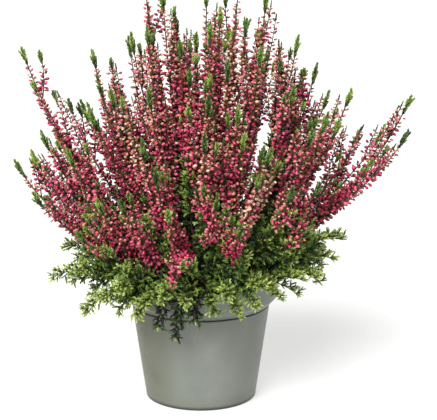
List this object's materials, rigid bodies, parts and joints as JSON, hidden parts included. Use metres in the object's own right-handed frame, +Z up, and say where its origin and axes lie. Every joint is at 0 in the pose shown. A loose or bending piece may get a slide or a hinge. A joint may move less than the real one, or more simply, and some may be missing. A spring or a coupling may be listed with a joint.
{
  "type": "potted heather",
  "caption": "Heather plant in bloom, with upright flowering sprays and low leafy shoots, growing in compost in a round tapered pot with a stepped collar.",
  "frame": {"origin": "middle of the pot's underside, on the surface that the pot stands on", "axes": "+Z up the pot's axis to the tips of the flowers, -Y to the front, +X to the right"},
  "size_m": [0.3193, 0.278, 0.3475],
  "materials": {
    "grey_plastic": "satin",
    "peat_compost": "matte",
    "heather_bloom": "matte",
    "heather_leaf": "matte"
  },
  "bodies": {
    "root": {"pot": "grey_plastic", "compost": "peat_compost", "flowering_spray_01": "heather_bloom", "flowering_spray_02": "heather_bloom", "flowering_spray_03": "heather_bloom", "flowering_spray_04": "heather_bloom", "flowering_spray_05": "heather_bloom", "flowering_spray_06": "heather_bloom", "flowering_spray_07": "heather_bloom", "flowering_spray_08": "heather_bloom", "flowering_spray_09": "heather_bloom", "flowering_spray_10": "heather_bloom", "flowering_spray_11": "heather_bloom", "flowering_spray_12": "heather_bloom", "flowering_spray_13": "heather_bloom", "flowering_spray_14": "heather_bloom", "flowering_spray_15": "heather_bloom", "flowering_spray_16": "heather_bloom", "flowering_spray_17": "heather_bloom", "flowering_spray_18": "heather_bloom", "flowering_spray_19": "heather_bloom", "flowering_spray_20": "heather_bloom", "flowering_spray_21": "heather_bloom", "flowering_spray_22": "heather_bloom", "flowering_spray_23": "heather_bloom", "flowering_spray_24": "heather_bloom", "flowering_spray_25": "heather_bloom", "flowering_spray_26": "heather_bloom", "flowering_spray_27": "heather_bloom", "flowering_spray_28": "heather_bloom", "flowering_spray_29": "heather_bloom", "flowering_spray_30": "heather_bloom", "flowering_spray_31": "heather_bloom", "flowering_spray_32": "heather_bloom", "flowering_spray_33": "heather_bloom", "flowering_spray_34": "heather_bloom", "flowering_spray_35": "heather_bloom", "flowering_spray_36": "heather_bloom", "flowering_spray_37": "heather_bloom", "leafy_spray_01": "heather_leaf", "leafy_spray_02": "heather_leaf", "leafy_spray_03": "heather_leaf", "leafy_spray_04": "heather_leaf", "leafy_spray_05": "heather_leaf", "leafy_spray_06": "heather_leaf", "leafy_spray_07": "heather_leaf", "leafy_spray_08": "heather_leaf", "leafy_spray_09": "heather_leaf", "leafy_spray_10": "heather_leaf", "leafy_spray_11": "heather_leaf", "leafy_spray_12": "heather_leaf", "leafy_spray_13": "heather_leaf", "leafy_spray_14": "heather_leaf", "leafy_spray_15": "heather_leaf", "leafy_spray_16": "heather_leaf", "leafy_spray_17": "heather_leaf", "leafy_spray_18": "heather_leaf"}
  },
  "joints": []
}
